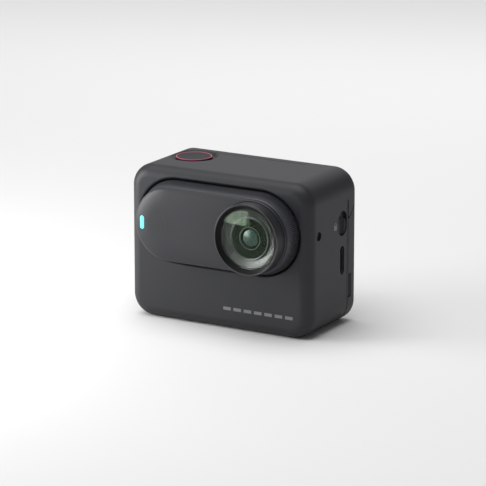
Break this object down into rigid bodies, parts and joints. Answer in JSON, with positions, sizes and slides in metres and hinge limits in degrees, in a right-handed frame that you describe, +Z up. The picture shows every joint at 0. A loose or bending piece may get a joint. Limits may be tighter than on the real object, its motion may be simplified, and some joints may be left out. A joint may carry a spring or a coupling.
{
  "type": "action camera",
  "caption": "Palm-sized action camera housing with a docked stadium-shaped camera pod, lens guard, top shutter button and a screen that flips up from the back.",
  "frame": {"origin": "centre of the whole camera's box, on the surface it stands on", "axes": "+X to the camera's right as seen from the front, +Y towards the back, +Z up; the lens faces -Y"},
  "size_m": [0.0636, 0.0388, 0.0482],
  "materials": {
    "housing_plastic": "fine grained, dark charcoal",
    "cover_plastic": "fine grained, darker charcoal",
    "pod_plastic": "smooth satin, dark grey",
    "black_plastic": "matte black",
    "button_plastic": "satin black",
    "red_trim": "satin red",
    "status_lens": "lit cyan light guide",
    "mark_grey": "pad printed light grey",
    "lens_metal": "turned, satin",
    "guard_metal": "satin black anodised",
    "clear_glass": "coated, polished",
    "lens_glass": "coated, polished",
    "screen_glass": "polished black",
    "display": "dark display stack",
    "steel": "satin",
    "brass": "gold plated",
    "circuit": "green solder mask",
    "cell": "wrapped pouch cell",
    "magnet": "nickel plated",
    "rubber": "matte black"
  },
  "bodies": {
    "housing": {"front_shell": "housing_plastic", "rear_cover": "cover_plastic", "dock_tray": "black_plastic", "dock_magnets": "magnet", "contact_pins": "brass", "battery": "cell", "main_board": "circuit", "usb_socket": "steel", "speaker": "black_plastic", "side_microphone": "black_plastic", "shutter_switch": "steel", "side_switches": "steel", "base_pad": "rubber", "mount_magnets": "magnet", "cover_screws": "steel", "lock_mark": "mark_grey", "front_mark": "mark_grey", "hinge_pin": "steel", "slider_spring": "steel"},
    "flip_screen": {"screen_frame": "housing_plastic", "screen_inner_cover": "cover_plastic", "screen_glass": "screen_glass", "display_panel": "display", "hinge_sleeves": "brass"},
    "camera_pod": {"pod_front_cover": "pod_plastic", "pod_frame": "housing_plastic", "pod_rear_shell": "cover_plastic", "status_light": "status_lens", "touch_ridges": "pod_plastic", "lens_barrel": "black_plastic", "lens_front_ring": "lens_metal", "lens_inner_ring": "lens_metal", "front_lens": "lens_glass", "pupil_lens": "lens_glass", "rear_lens": "lens_glass", "lens_holder": "black_plastic", "image_sensor": "circuit", "pod_board": "circuit", "pod_battery": "cell", "pod_switch": "steel", "contact_pads": "brass", "pod_magnets": "magnet"},
    "lens_guard": {"guard_ring": "guard_metal", "guard_glass": "clear_glass", "guard_seal": "rubber"},
    "shutter_button": {"shutter_cap": "button_plastic", "shutter_ring": "red_trim"},
    "release_slider": {"slider_knob": "button_plastic", "lock_hook": "steel"},
    "power_key": {"power_button": "button_plastic"},
    "function_key": {"function_button": "button_plastic"}
  },
  "joints": [
    {"name": "screen_flip", "type": "hinge", "parent": "housing", "child": "flip_screen", "pos_m": [0, 0.01645, 0.0452], "axis": [1, 0, 0], "range_deg": [0, 180]},
    {"name": "pod_release", "type": "slide", "parent": "housing", "child": "camera_pod", "axis": [0, -1, 0], "range_m": [0, 0.024]},
    {"name": "guard_twist", "type": "hinge", "parent": "camera_pod", "child": "lens_guard", "pos_m": [0.0149, -0.0142, 0.03185], "axis": [0, -1, 0], "range_deg": [0, 45]},
    {"name": "shutter_press", "type": "slide", "parent": "housing", "child": "shutter_button", "axis": [0, 0, -1], "range_m": [0, 0.0006], "stiffness_N_per_m": 400},
    {"name": "lock_slide", "type": "slide", "parent": "housing", "child": "release_slider", "axis": [0, 0, 1], "range_m": [0, 0.002]},
    {"name": "power_press", "type": "slide", "parent": "housing", "child": "power_key", "axis": [1, 0, 0], "range_m": [0, 0.0005], "stiffness_N_per_m": 400},
    {"name": "function_press", "type": "slide", "parent": "housing", "child": "function_key", "axis": [1, 0, 0], "range_m": [0, 0.0005], "stiffness_N_per_m": 400}
  ]
}
